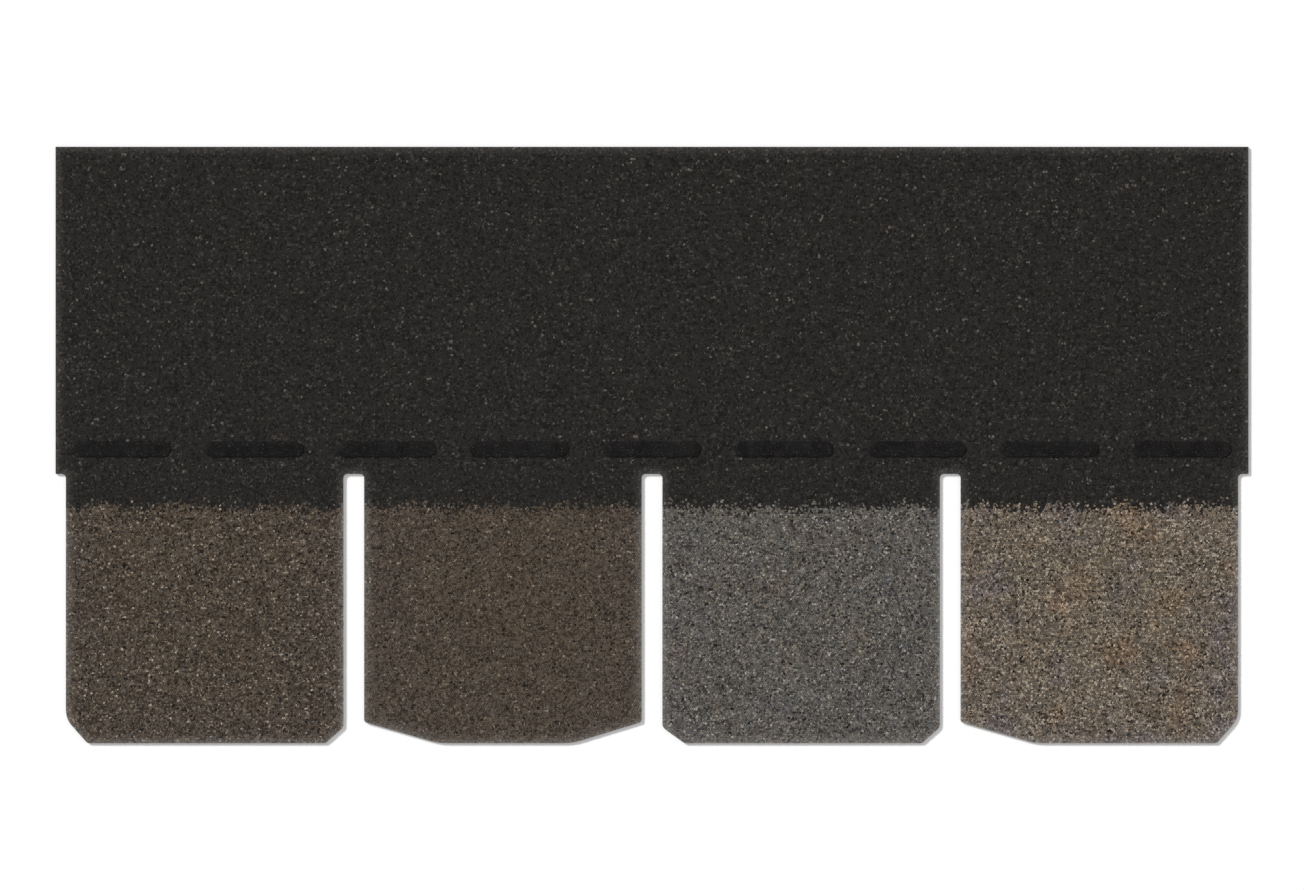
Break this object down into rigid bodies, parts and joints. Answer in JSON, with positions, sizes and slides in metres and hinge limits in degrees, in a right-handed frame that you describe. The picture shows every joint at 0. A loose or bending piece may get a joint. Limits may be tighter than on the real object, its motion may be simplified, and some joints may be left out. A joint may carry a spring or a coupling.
{
  "type": "asphalt strip shingle",
  "caption": "Slate-look asphalt roofing shingle strip: granule-surfaced tabs with clipped corners and slots below a plain dark headlap, with self-seal adhesive dashes and a release film on its back.",
  "frame": {"origin": "On the back of the strip, at the middle of its length and of its height up the slope", "axes": "+X along the eaves, the strip's length; +Y up the slope, from the tab tips to the headlap's top edge; +Z out of the roof, the weather side"},
  "size_m": [0.9144, 0.4572, 0.004],
  "materials": {
    "mineral_granules": "Ceramic-coated crushed rock granules pressed into asphalt: a fine salt-and-pepper mix of taupe, dark brown, grey and tan tabs under a charcoal headlap, dry and matte with a few sparkling grains",
    "asphalt": "Black thermoplastic asphalt: smooth and slightly glossy in the adhesive dashes, dull and dusted with mineral fines on the cut edges",
    "release_tape": "Thin clear polyester tape with a glossy, faintly wrinkled surface over the dark back"
  },
  "bodies": {
    "root": {"shingle": "mineral_granules", "self_seal_adhesive": "asphalt", "release_film": "release_tape"}
  },
  "joints": []
}
